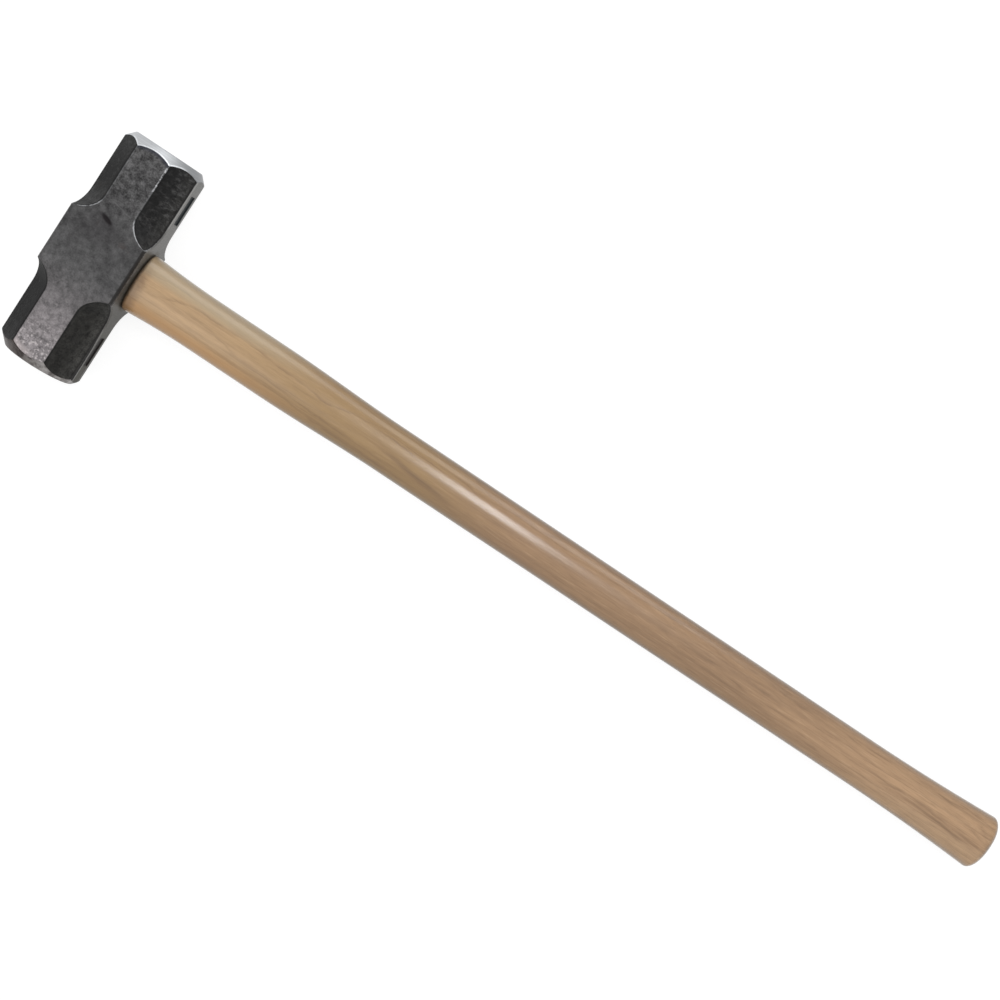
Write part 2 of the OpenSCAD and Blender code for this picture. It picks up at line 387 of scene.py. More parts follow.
def build_head():
    """The head: a skin of rings round its axis, roughened, with the eye cut through."""
    angle = square_angles(POINTS_PER_SIDE)[None, :]
    y = head_stations()[:, None]
    skin = head_radius(angle, y, np.zeros_like(angle * y))

    def ring_places(radius, along):
        along = np.broadcast_to(along, radius.shape)
        turn = np.broadcast_to(angle, radius.shape)
        return np.stack([radius * np.cos(turn), along, radius * np.sin(turn)], axis=-1)

    relief = head_relief(ring_places(skin, y))
    body = ring_places(head_radius(angle, y, relief), y)
    face = face_profile()
    face_rings = ring_places(np.repeat(face[:, :1], angle.shape[1], axis=1), face[:, 1:])
    far_rings = face_rings[::-1] * [1, -1, 1] + [OFF_CENTRE, 0, 0]
    rings = np.concatenate([far_rings, body, face_rings])
    far_tip, near_tip = (OFF_CENTRE, -HALF_LENGTH, 0), (0, HALF_LENGTH, 0)
    head = tube_object("head_forging", rings, far_tip, near_tip)
    cut(head, eye_cutter())
    shade(head.data, HEAD_SHARP)
    x, y, z = places_mm(head.data).T
    cheek, top, facet, bevel = head_depths(x, y, z)
    store(head.data, "facet", np.minimum(cheek, top) - facet)
    store(head.data, "bevel", np.minimum(np.minimum(cheek, top), facet) - bevel)
    store(head.data, "upright", cheek - top)
    store(head.data, "panel", panel_depth(x, y, z) - 2 * np.maximum(top - 2.5, 0))
    store(head.data, "dent", cheek_dents(places_mm(head.data)))
    return head


def handle_sections(down):
    """Width and thickness of the handle at distances below the head."""
    down = np.asarray(down, float)[:, None]

    def share(start, end):
        return np.clip((down - start) / (end - start), 0, 1)

    shoulder, taper = share(0, SHOULDER_END), share(NECK_END, SHAFT_START)
    shaft, swell = share(SHAFT_START, SWELL_START), share(SWELL_START, EXPOSED_LENGTH)
    section = SHOULDER + (NECK - SHOULDER) * (1 - (1 - shoulder) ** 2)
    section = section + (SHAFT - NECK) * taper * taper * (3 - 2 * taper)
    return section + (GRIP - SHAFT) * shaft + (BUTT - GRIP) * swell * swell


def tongue_rings():
    """Rings of the tongue that fills the eye."""
    tongue_x = np.linspace(TONGUE_X, HALF_WIDTH, TONGUE_RINGS)
    tongue_width = 2 * eye_half_width(tongue_x)
    tongue = np.stack([tongue_width * EYE_LENGTH / EYE_WIDTH, tongue_width], axis=-1)
    return oval_rings(tongue_x, tongue - 2 * EYE_CLEARANCE, 2, HANDLE_SIDES)


def shaft_rings():
    """Rings of the handle below the head: rounded shoulder, shaved shaft and domed butt."""
    rounding = np.linspace(0, math.pi / 2, ROUNDING_RINGS)
    rounded_down = SHOULDER_ROUNDING * (1 - np.cos(rounding))
    rounded_in = 2 * SHOULDER_ROUNDING * (1 - np.sin(rounding))[:, None]
    dome_start = EXPOSED_LENGTH - DOME_HEIGHT
    shaft_down = np.arange(SHOULDER_ROUNDING + SHAFT_STEP, dome_start, SHAFT_STEP)
    dome_turn = np.linspace(0, math.pi / 2, DOME_RINGS)[:-1]
    dome_down = dome_start + DOME_HEIGHT * np.sin(dome_turn)
    dome_scale = (np.cos(dome_turn) ** DOME_FULLNESS)[:, None]
    down = np.concatenate([rounded_down, shaft_down, dome_down])
    sections = np.concatenate([
        handle_sections(rounded_down) - rounded_in,
        handle_sections(shaft_down),
        handle_sections(dome_down) * dome_scale,
    ])
    rings = oval_rings(HALF_WIDTH + down, sections, SECTION_SQUARENESS, HANDLE_SIDES)
    shaving = SHAVING_DEPTH * (smooth_noise(rings, SHAVING_SIZE, 11) - 1)
    half_width = np.maximum(np.linalg.norm(rings[..., 1:], axis=-1), 1.0)
    rings[..., 1:] *= (1 + shaving / half_width)[..., None]
    return rings


def build_handle():
    """The handle: one tube from the tongue's end to the butt, with its kerf and wedges cut."""
    tongue = tongue_rings()
    end_rings = tongue[0] * np.where(np.arange(3) == 0, 1, END_SHARES[:, None, None])
    rings = np.concatenate([end_rings, tongue, shaft_rings()])
    handle = tube_object("hickory_handle", rings, (TONGUE_X, 0, 0), (handle_high[0], 0, 0))
    cut(handle, wedge_cutter("timber_wedge", KERF_STRETCH))
    for node in ("steel_wedge_left", "steel_wedge_right"):
        cut(handle, wedge_cutter(node, 1))
    shade(handle.data, HANDLE_SHARP)
    store(handle.data, "end_grain", end_grain(handle.data))
    store(handle.data, "heartwood", heartwood(places_mm(handle.data)))
    return handle


# Streaks of heartwood on the upper side: place, half length, half width, slope, strength
HEART_STREAKS = [
    (314.0, -6.0, 32.0, 2.8, -0.12, 0.75),
    (338.0, -8.8, 10.0, 1.6, -0.10, 0.55),
    (585.0, 3.0, 45.0, 1.6, 0.04, 0.30),
    (610.0, -6.0, 50.0, 1.4, -0.03, 0.28),
    (640.0, 9.0, 40.0, 1.3, 0.02, 0.30),
    (690.0, 12.0, 38.0, 1.8, -0.02, 0.35),
    (830.0, -3.0, 52.0, 1.3, -0.05, 0.50),
    (845.0, 14.0, 42.0, 1.5, 0.03, 0.35),
    (868.0, 5.0, 16.0, 2.0, -0.9, 0.30),
]


def heartwood(places):
    """How dark the heartwood is, from 0 to 1."""
    bend = 2.0 * smooth_noise(places, np.array([35.0, 9.0, 9.0]), 21)
    x, y, z = places.T
    total = np.zeros_like(x)
    for at_x, at_y, length, width, slope, strength in HEART_STREAKS:
        along = (x - at_x) / length
        across = (y + bend - at_y - slope * (x - at_x)) / width
        total = np.maximum(total, strength * np.exp(-(along**2) - across**2))
    return np.where(z > 0, total, 0)


def wedge_cutter(node, stretch):
    """A convex block round a wedge that reaches past the end of the tongue, stretched along Y."""
    places = places_mm(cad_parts[node].data) * [1, stretch, 1]
    places[places[:, 0] < TONGUE_X + 0.01, 0] -= 1.0
    block = bmesh.new()
    for place in np.unique(places.round(4), axis=0):
        block.verts.new((place + [0, 0, AXIS_Z]) * MM)
    hull = bmesh.ops.convex_hull(block, input=block.verts)
    inside = set(hull["geom_interior"] + hull["geom_unused"])
    bmesh.ops.delete(block, geom=list(inside), context="VERTS")
    bmesh.ops.recalc_face_normals(block, faces=block.faces)
    mesh = bpy.data.meshes.new(node + "_cutter")
    block.to_mesh(mesh)
    block.free()
    cutter = bpy.data.objects.new(node + "_cutter", mesh)
    bpy.context.scene.collection.objects.link(cutter)
    return cutter


def end_grain(mesh):
    """How squarely the skin faces along the grain, from 0 to 1."""
    normals = np.empty(len(mesh.vertices) * 3, np.float32)
    mesh.vertex_normals.foreach_get("vector", normals)
    return ramp(np.abs(normals.reshape(-1, 3)[:, 0]), 0.45, 0.9)


class Shader:
    """A material's node tree, built by short calls that take and return sockets or numbers.

    Places and distances are in millimetres, so a span over x, y or z lies where its limits say.
    """

    def __init__(self, name):
        self.material = bpy.data.materials.new(name)
        self.material.use_nodes = True
        self.tree = self.material.node_tree
        self.bsdf = self.tree.nodes["Principled BSDF"]

    def node(self, kind, inputs=(), **settings):
        made = self.tree.nodes.new("ShaderNode" + kind)
        for key, value in settings.items():
            setattr(made, key, value)
        for socket, value in dict(inputs).items():
            self.feed(made.inputs[socket], value)
        return made

    def feed(self, socket, value):
        if isinstance(value, bpy.types.NodeSocket):
            self.tree.links.new(value, socket)
        else:
            socket.default_value = value

    def set(self, **inputs):
        """Feeds the shader itself; an underscore stands for a space."""
        for name, value in inputs.items():
            self.feed(self.bsdf.inputs[name.replace("_", " ")], value)

    def place(self):
        """The place in the CAD frame, in millimetres."""
        coordinates = self.node("TexCoord").outputs["Object"]
        return self.vector("SCALE", coordinates, scale=1 / MM)

    def vector(self, operation, a, b=None, scale=None):
        inputs = {0: a}
        if b is not None:
            inputs[1] = b
        if scale is not None:
            inputs["Scale"] = scale
        return self.node("VectorMath", inputs, operation=operation).outputs[0]

    def split(self, vector):
        return self.node("SeparateXYZ", {0: vector}).outputs[:3]

    def join(self, x, y, z):
        return self.node("CombineXYZ", {0: x, 1: y, 2: z}).outputs[0]

    def math(self, operation, *values):
        return self.node("Math", dict(enumerate(values)), operation=operation).outputs[0]

    def add(self, *values):
        total = values[0]
        for value in values[1:]:
            total = self.math("ADD", total, value)
        return total

    def times(self, *values):
        total = values[0]
        for value in values[1:]:
            total = self.math("MULTIPLY", total, value)
        return total

    def less(self, a, b):
        return self.math("SUBTRACT", a, b)

    def size(self, value):
        return self.math("ABSOLUTE", value)

    def most(self, a, b):
        return self.math("MAXIMUM", a, b)

    def hypot(self, a, b):
        return self.math("SQRT", self.add(self.times(a, a), self.times(b, b)))

    def span(self, value, low, high, start=0.0, end=1.0):
        """A smooth step of value, from start at low to end at high."""
        ends = {"From Min": low, "From Max": high, "To Min": start, "To Max": end}
        inputs = {"Value": value, **ends}
        return self.node("MapRange", inputs, interpolation_type="SMOOTHSTEP").outputs[0]

    def mix(self, factor, a, b):
        """A colour between a and b."""
        made = self.node("Mix", data_type="RGBA")
        self.feed(made.inputs[0], factor)
        for socket, colour in ((made.inputs[6], a), (made.inputs[7], b)):
            self.feed(socket, (*colour, 1.0) if isinstance(colour, tuple) else colour)
        return made.outputs[2]

    def between(self, factor, a, b):
        """A number between a and b."""
        made = self.node("Mix", data_type="FLOAT")
        for socket, value in zip((made.inputs[0], *made.inputs[2:4]), (factor, a, b)):
            self.feed(socket, value)
        return made.outputs[0]

    def noise(self, vector, size, detail=2.0, roughness=0.5):
        """Noise around 0.5; size is the size of its features, one number or one per axis."""
        if isinstance(size, tuple):
            vector = self.vector("DIVIDE", vector, size)
            size = 1.0
        inputs = {"Vector": vector, "Scale": 1 / size, "Detail": detail, "Roughness": roughness}
        return self.node("TexNoise", inputs).outputs[0]

    def curve(self, value, points):
        """A smooth curve through points in millimetres, read at a value."""
        reach, lift = 1000.0, 0.5
        made = self.node("FloatCurve", {"Value": self.times(value, 1 / reach)})
        knots = made.mapping.curves[0].points
        places = [(along / reach, lift + across / reach) for along, across in points]
        knots[0].location, knots[-1].location = places[0], places[-1]
        for place in places[1:-1]:
            knots.new(*place)
        made.mapping.update()
        return self.times(self.less(made.outputs[0], lift), reach)

    def attribute(self, name):
        return self.node("Attribute", attribute_name=name).outputs["Fac"]

    def bump(self, height, distance):
        """A bump whose height of 1 stands the given distance in millimetres."""
        inputs = {"Height": height, "Distance": distance * MM}
        return self.node("Bump", inputs).outputs[0]


# Colours of the lacquer on the cheeks
CHEEK_DARK, CHEEK_LIGHT = (0.058, 0.057, 0.058), (0.077, 0.076, 0.077)
SMOKED = (0.026, 0.024, 0.026)
# Pale lacquer of the -Y arm: partly worn lacquer, partly painted sheen
WORN_LACQUER_AND_SHEEN = (0.235, 0.216, 0.221)
# Painted glints on the pebbles of the -Y arm, and painted shade between them
PAINTED_GLINT, PAINTED_PIT_SHADE = (0.62, 0.57, 0.57), (0.06, 0.055, 0.056)
PALE_EDGE = (0.52, 0.46, 0.46)
SCORED = (0.13, 0.13, 0.13)
HEATED = (0.022, 0.024, 0.036)
# A smoked patch on the upper cheek, and a score across it where the +Y arm begins
SMOKE_MIDDLE = (-4.0, 20.0)
SMOKE_REACH = (24.0, 16.0)
SCORE_Y = 44.2
SCORE_SLOPE = 0.21

# Colours of the lacquer on the facets, and of rust
UNDER_BROWN, UNDER_GREY = (0.0195, 0.0190, 0.0175), (0.0150, 0.0150, 0.0152)
# A painted reflection on the underside facets, towards the underside
UNDER_REFLECTION = (0.050, 0.049, 0.046)
# Near blacks: the upper facets are painted this dark as shade, and so is other painted shade on the
# facets
JET = (0.005, 0.005, 0.005)
SOFT_BLACK = (0.034, 0.034, 0.034)
SCUFFED = (0.080, 0.079, 0.079)
RUST = (0.070, 0.047, 0.040)

# Colours of the ground steel: bevels, strips and worn edges
TURNED_DARK, TURNED_LIGHT = (0.32, 0.33, 0.34), (0.46, 0.47, 0.485)
# A painted reflection along the inner edge of the +Y bevel
INNER_EDGE_REFLECTION = (0.75, 0.77, 0.80)
# The -Y bevel, painted dark as a dim reflection: darker towards the top, lighter towards the
# underside
DIM_REFLECTION_TOP_DARK, DIM_REFLECTION_TOP_LIGHT = (0.024, 0.017, 0.015), (0.074, 0.059, 0.054)
DIM_REFLECTION_LOW_DARK, DIM_REFLECTION_LOW_LIGHT = (0.10, 0.090, 0.086), (0.31, 0.294, 0.286)
GROUND_DARK, GROUND_LIGHT = (0.105, 0.103, 0.095), (0.22, 0.217, 0.210)
OLIVE_STAIN = (0.050, 0.046, 0.034)
# A painted highlight along the strips' edges beside the facets
STRIP_EDGE_HIGHLIGHT = (0.44, 0.435, 0.420)
BARE_EDGE = (0.42, 0.42, 0.43)

# Colours in the dents, along the block, in the sunk panels and round the handle: painted shade in
# the dents and along the block's lower edges, grime and painted shade round the handle
DENT_SHADE = (0.006, 0.004, 0.005)
BLOCK_EDGE_SHADE = (0.012, 0.011, 0.010)
PANEL_BLUE, PANEL_BROWN = (0.008, 0.012, 0.014), (0.006, 0.004, 0.003)
# Grime and painted shade round the handle
EYE_GRIME_AND_SHADE = (0.080, 0.068, 0.048)
# How far lacquer reaches over the edge of the ground strip of the -Y arm
LACQUER_OVERLAP = 2.7


def cheek_colour(s, place, x, y, z, bevel, fine, mottle):
    """Lacquer on the cheeks: mottled, smoked round the dent, and worn pale on the -Y arm, where it
    also carries a painted sheen, painted glints and painted shade among its pebbles.
    """
    patch = s.noise(place, 20.0, 2.0)
    colour = s.mix(s.span(patch, 0.3, 0.7), CHEEK_DARK, CHEEK_LIGHT)
    # Painted lighter towards the -Y arm, as part of its painted sheen
    colour = s.vector("SCALE", colour, scale=s.span(y, 8.0, -26.0, 0.96, 1.12))
    on_upper = s.span(z, 20.0, 30.0)
    off_x, off_y = (
        s.times(s.less(value, middle), 1 / reach)
        for value, middle, reach in zip((x, y), SMOKE_MIDDLE, SMOKE_REACH)
    )
    smoke = s.span(s.hypot(off_x, off_y), 1.1, 0.2)
    colour = s.mix(s.times(smoke, on_upper, 0.5), colour, SMOKED)

    # The -Y arm painted pale: partly worn lacquer, partly painted sheen
    worn_and_sheen = s.times(s.span(y, -10.0, -84.0), s.span(mottle, -0.3, 0.1, 0.75, 1.0))
    colour = s.mix(worn_and_sheen, colour, WORN_LACQUER_AND_SHEEN)
    contrast = s.span(y, 28.0, 60.0, 1.6, 4.0)
    uneven = s.add(1.0, s.times(s.add(s.times(fine, 0.6), mottle), contrast))
    colour = s.vector("SCALE", colour, scale=s.most(uneven, 0.35))
    # Painted glints on the pebbles near the -Y end, and painted shade in the pits between them
    pebbled = s.noise(place, 3.0, 2.0, 0.5)
    rough_end = s.span(y, -58.0, -96.0)
    glint_spots = s.times(rough_end, s.span(pebbled, 0.54, 0.70, 0.0, 0.8))
    pit_shade_spots = s.times(rough_end, s.span(pebbled, 0.46, 0.32, 0.0, 0.7))
    colour = s.mix(pit_shade_spots, s.mix(glint_spots, colour, PAINTED_GLINT), PAINTED_PIT_SHADE)
    pale = s.times(s.span(bevel, -4.5, -1.0), s.span(y, -60.0, -90.0), s.span(x, 8.0, -4.0))
    colour = s.mix(s.times(pale, on_upper, 0.55), colour, PALE_EDGE)
    scored = s.less(s.add(y, s.times(x, SCORE_SLOPE)), SCORE_Y)
    score = s.times(
        s.span(s.size(scored), 0.9, 0.2), s.span(x, -9.0, -4.0), s.span(x, 15.0, 11.0)
    )
    colour = s.mix(s.times(score, on_upper, 0.35), colour, SCORED)
    heated = s.times(s.span(bevel, -2.6, -0.4), s.span(y, 60.0, 90.0))
    return s.mix(s.times(heated, 0.75), colour, HEATED)


def slope_colour(s, place, x, y, facet, fine, mottle):
    """Lacquer on the facets: nearly black, painted lighter towards the underside as a reflection,
    painted darker on the upper facets and along the edges as shade, and scuffed at +Y.
    """
    under = s.mix(s.span(y, -20.0, 20.0), UNDER_BROWN, UNDER_GREY)
    # Painted reflection: the underside facets are painted lighter towards the underside
    rubbed_and_reflection = s.times(s.span(x, 24.0, 36.0), s.span(y, -20.0, 20.0, 0.9, 0.5))
    under = s.mix(rubbed_and_reflection, under, UNDER_REFLECTION)
    far_along = s.size(y)
    near_block = s.times(s.span(y, 56.0, 38.0), s.span(y, 20.0, 32.0))
    near_end = s.span(far_along, 70.0, 100.0, 0.0, 0.6)
    over = s.mix(s.most(near_block, near_end), JET, SOFT_BLACK)
    # Painted shade: the upper facets are painted darker than the underside ones
    colour = s.mix(s.span(x, 6.0, -6.0), under, over)
    uneven = s.add(1.0, s.times(mottle, 3.0), s.times(fine, 2.0))
    colour = s.vector("SCALE", colour, scale=s.most(uneven, 0.2))
    scuff = s.span(s.noise(place, (7.0, 3.0, 7.0), 4.0, 0.7), 0.48, 0.68)
    often = s.times(s.span(y, 28.0, 60.0, 0.15, 1.0), s.span(x, -6.0, 6.0, 0.3, 1.0))
    colour = s.mix(s.times(scuff, often, 0.9), colour, SCUFFED)
    shaded = s.times(s.span(x, 30.0, 17.0), s.span(x, 6.0, 12.0), s.span(y, 42.0, 66.0))
    colour = s.mix(s.times(shaded, 0.75), colour, JET)
    # A painted shade line along each facet's edges
    return s.mix(s.span(facet, 2.2, 0.9, 0.0, 0.7), colour, JET)


def lacquer_colour(s, place, x, y, z, facet, bevel, on_facet):
    """Dark lacquer with a breath of rust."""
    fine = s.less(s.noise(place, 1.5, 2.0, 0.6), 0.5)
    mottle = s.less(s.noise(place, 5.0, 3.0, 0.62), 0.5)
    cheek = cheek_colour(s, place, x, y, z, bevel, fine, mottle)
    slope = slope_colour(s, place, x, y, facet, fine, mottle)
    rust = s.times(s.span(s.noise(place, 11.0, 4.0, 0.7), 0.62, 0.78), 0.3)
    return s.mix(rust, s.mix(on_facet, cheek, slope), RUST)


def edge_wear(s, place, x, y, z, facet):
    """Bare steel along the edges of the run-outs, and in chips along the end of one arm."""
    width = s.add(0.3, s.times(s.noise(place, 5.0, 3.0, 0.6), 0.9))
    near_edge = s.span(s.math("DIVIDE", s.size(facet), width), 1.0, 0.35)
    far_along = s.size(y)
    at_runout = s.times(s.span(far_along, 24.0, 27.0), s.span(far_along, 44.0, 38.0))
    rubbed_and_reflection = s.most(s.times(at_runout, s.span(y, -40.0, 30.0, 0.2, 0.55)), 0.08)
    chipped = s.times(s.span(y, 60.0, 76.0), s.span(x, 5.0, 9.0), s.span(z, 20.0, 30.0))
    chips = s.span(s.noise(place, 1.9, 2.0), 0.48, 0.56)
    wear = s.times(near_edge, s.most(rubbed_and_reflection, s.times(chipped, chips)))
    return s.times(wear, s.span(s.noise(place, 2.6, 2.0), 0.25, 0.55))


def bevel_colour(s, place, x, y, z, bevel, shine):
    """A bright turned bevel at the +Y end with a painted reflection along its inner edge, and a
    dull one at the -Y end, painted dark as a dim reflection.
    """
    bright = s.mix(shine, TURNED_DARK, TURNED_LIGHT)
    # Painted reflection and shade: the bevel is painted lighter towards the top and darker towards
    # the underside
    bright = s.vector("SCALE", bright, scale=s.span(x, -4.0, 32.0, 1.22, 0.65))
    # A painted reflection along the bevel's inner edge, on its upper side
    inner_edge_reflection = s.times(s.span(bevel, 1.2, 0.5), s.span(z, 20.0, 28.0), 0.8)
    bright = s.mix(inner_edge_reflection, bright, INNER_EDGE_REFLECTION)
    smear = s.span(s.noise(place, (6.0, 12.0, 6.0), 3.0, 0.65), 0.35, 0.65)
    # The -Y bevel is painted dark as a dim reflection, in blotches, darkest towards the top
    dim_reflection_top = s.mix(smear, DIM_REFLECTION_TOP_DARK, DIM_REFLECTION_TOP_LIGHT)
    dim_reflection_low = s.mix(smear, DIM_REFLECTION_LOW_DARK, DIM_REFLECTION_LOW_LIGHT)
    dull = s.mix(s.span(x, -12.0, 18.0), dim_reflection_top, dim_reflection_low)
    return s.mix(s.span(y, 0.0, -20.0), bright, dull)


def strip_colour(s, y, covered, shine):
    """Ground strips: stained olive towards the -Y end, with a painted highlight along the edge
    beside each facet.
    """
    flat = s.mix(shine, GROUND_DARK, GROUND_LIGHT)
    stained = s.times(s.span(y, 10.0, -20.0), s.span(y, -38.0, -84.0, 0.35, 0.9))
    flat = s.mix(stained, flat, OLIVE_STAIN)
    # Painted highlight along the rounded edge beside each facet
    edge = s.times(s.span(covered, -2.4, -0.8), s.span(s.size(y), 44.0, 54.0))
    return s.mix(s.times(edge, s.span(y, -10.0, 10.0, 0.4, 0.7)), flat, STRIP_EDGE_HIGHLIGHT)


def eye_grime_and_shade(s, x, y, z, pebble):
    """Grime and painted shade on the underside of the head, close round the handle."""
    wide, thick = s.times(y, 2 / SHOULDER[0]), s.times(z, 2 / SHOULDER[1])
    out = s.hypot(wide, thick)
    close = s.span(s.add(out, s.times(pebble, 0.2)), 1.26, 1.12)
    return s.times(close, s.span(x, 30.0, 34.0))


def strip_mask(s, x, y, upright, covered, panel, pebble):
    """1 on the ground strips; lacquer laps unevenly over the lower edges of the block, partly as
    painted shade on their rolled edge.
    """
    # Lacquer lapping over the block's rolled lower edges, partly painted shade there
    lacquer_lap_and_shade = s.times(
        s.span(s.size(y), BLOCK_HALF + 4.0, BLOCK_HALF + 0.5),
        s.span(x, -2.0, 2.0),
        s.span(pebble, 0.3, 0.7, 3.0, 5.5),
    )
    return s.times(
        s.span(upright, s.add(lacquer_lap_and_shade, 0.2), s.add(s.times(lacquer_lap_and_shade, 1.8), 0.8)),
        s.span(covered, 0.2, -0.3),
        s.span(panel, 0.1, -0.2),
    )


def block_edge_shade(s, x, y, upright):
    """Painted shade along the lower edges of the block, darker than their lacquer."""
    return s.times(
        s.span(upright, -1.8, -0.6, 0.0, 0.8),
        s.span(upright, 6.0, 2.0),
        s.span(x, 5.0, 20.0),
        s.span(s.size(y), BLOCK_HALF + 3.0, BLOCK_HALF),
    )


def ground_lines(s, place, x, y, z, strip):
    """Marks of grinding: turned on the bevels, mottled on the faces, scored on the strips."""
    across = s.less(x, s.span(y, 1.0, -1.0, 0.0, OFF_CENTRE))
    ring = s.hypot(across, z)
    turned = s.noise(s.join(ring, s.times(y, 0.7), 0.0), 1.1, 3.0, 0.7)
    scored = s.noise(place, (9.0, 0.6, 9.0), 3.0, 0.7)
    on_face = s.span(s.size(y), HALF_LENGTH - 1.0, HALF_LENGTH - 0.2, 0.0, 0.65)
    turned = s.between(on_face, turned, s.noise(place, 7.0, 4.0, 0.65))
    return s.between(strip, turned, scored)


def forged_material():
    """Lacquered forging with bare ground bevels and strips."""
    s = Shader("forged_lacquered_steel")
    place = s.place()
    x, y, z = s.split(place)
    z = s.less(z, AXIS_Z)
    facet, bevel = s.attribute("facet"), s.attribute("bevel")
    upright, panel = s.attribute("upright"), s.attribute("panel")
    grit = s.noise(place, 0.9, 3.0, 0.6)
    pebble = s.noise(place, 2.2, 2.0, 0.55)

    overlap = s.times(
        s.span(y, -40.0, -85.0), s.span(upright, -1.0, 1.0), s.span(x, -2.0, 2.0), LACQUER_OVERLAP
    )
    covered = s.add(facet, overlap)
    on_facet = s.span(s.add(covered, s.times(grit, 0.6)), 0.1, 0.9)
    on_bevel = s.span(s.add(bevel, s.times(grit, 0.25)), 0.05, 0.3)
    strip = s.times(
        strip_mask(s, x, y, upright, covered, panel, pebble), s.less(1.0, on_bevel)
    )
    ground = s.most(on_bevel, strip)
    wear = edge_wear(s, place, x, y, z, facet)
    bare = s.most(ground, wear)

    lacquer = lacquer_colour(s, place, x, y, z, facet, bevel, on_facet)
    # Painted shade in the dents
    dent_shade = s.span(s.attribute("dent"), 0.02, 0.65)
    lacquer = s.mix(dent_shade, lacquer, DENT_SHADE)
    # Painted shade along the block's lower edges
    lacquer = s.mix(block_edge_shade(s, x, y, upright), lacquer, BLOCK_EDGE_SHADE)

    lines = ground_lines(s, place, x, y, z, strip)
    shine = s.span(lines, 0.3, 0.7)
    steel = s.mix(
        strip, bevel_colour(s, place, x, y, z, bevel, shine), strip_colour(s, y, covered, shine)
    )
    steel = s.mix(s.times(wear, s.less(1.0, ground)), steel, BARE_EDGE)

    colour = s.mix(bare, lacquer, steel)
    sunk = s.mix(s.span(y, 5.0, -5.0), PANEL_BLUE, PANEL_BROWN)
    colour = s.mix(s.span(panel, -0.5, 0.1), colour, sunk)
    # Grime and painted shade round the handle, on the head's underside
    colour = s.mix(s.times(eye_grime_and_shade(s, x, y, z, pebble), 0.8), colour, EYE_GRIME_AND_SHADE)
    height = s.between(
        ground, s.add(s.times(pebble, 0.6), s.times(grit, 0.4)), s.times(lines, 0.25)
    )
    height = s.times(height, s.span(y, -28.0, -88.0, 1.0, 1.7))
    lacquer_rough = s.between(on_facet, s.span(grit, 0.3, 0.7, 0.40, 0.56), 0.62)
    dull = s.times(strip, s.span(y, -10.0, -38.0, 0.0, 0.14))
    s.set(
        Base_Color=colour,
        Metallic=s.times(bare, s.between(strip, 0.9, s.span(y, -84.0, -38.0, 0.15, 0.4))),
        Roughness=s.between(bare, lacquer_rough, s.add(s.span(lines, 0.3, 0.7, 0.34, 0.46), dull)),
        Normal=s.bump(height, 0.35),
        Specular_IOR_Level=0.15,
    )
    return s.material


# How far the growth layers lie askew in the timber
LAYER_TILT = math.radians(52)

# Colours of the wood: along the hickory from head to butt, and where it is marked
HICKORY = (
    (0.485, 0.318, 0.166), (0.338, 0.213, 0.094), (0.338, 0.206, 0.110), (0.455, 0.282, 0.153),
)
HICKORY_DARK = (0.15, 0.085, 0.045)
PALE_WOOD = (0.62, 0.42, 0.25)
# A painted sheen along the handle's +Y edge near the head
EDGE_SHEEN = (0.40, 0.34, 0.235)
AMBER = (0.52, 0.28, 0.11)
NECK_DARK_BAND = (0.034, 0.026, 0.020)
WEDGE_WOOD = ((0.68, 0.50, 0.31),) * 4
WEDGE_DARK = (0.22, 0.13, 0.06)
# Spacing of the growth layers, and how far the wedge's timber is moved in their pattern
HICKORY_LAYER, WEDGE_LAYER = 5.2, 2.1
WEDGE_SHIFT = (400.0, 30.0, 10.0)
# Where the handle comes out of the head: its painted sheen and painted shade, its amber, its stain
# and its dark band fade in between these
OUT_OF_HEAD = (20.0, 34.0)


def growth_lines(s, place, spacing, shift):
    """Growth layers that lie askew in the timber: 1 along each dark pore line, fading to 0."""
    place = s.vector("ADD", place, shift)
    _, y, z = s.split(place)
    sweep = s.noise(place, (230.0, 70.0, 70.0), 1.0)
    wander = s.noise(place, (45.0, 16.0, 16.0), 2.0)
    shiver = s.noise(place, (9.0, 4.0, 4.0), 2.0)
    layer = s.add(
        s.times(y, math.sin(LAYER_TILT)),
        s.times(z, math.cos(LAYER_TILT)),
        s.times(sweep, 13.0),
        s.times(wander, 3.6),
        s.times(shiver, 0.5),
    )
    share = s.math("FRACT", s.math("DIVIDE", layer, spacing))
    sharp = s.most(s.span(share, 0.10, 0.0), s.span(share, 0.95, 1.0))
    soft = s.span(share, 0.45, 0.0, 0.0, 0.35)
    return s.most(sharp, soft)


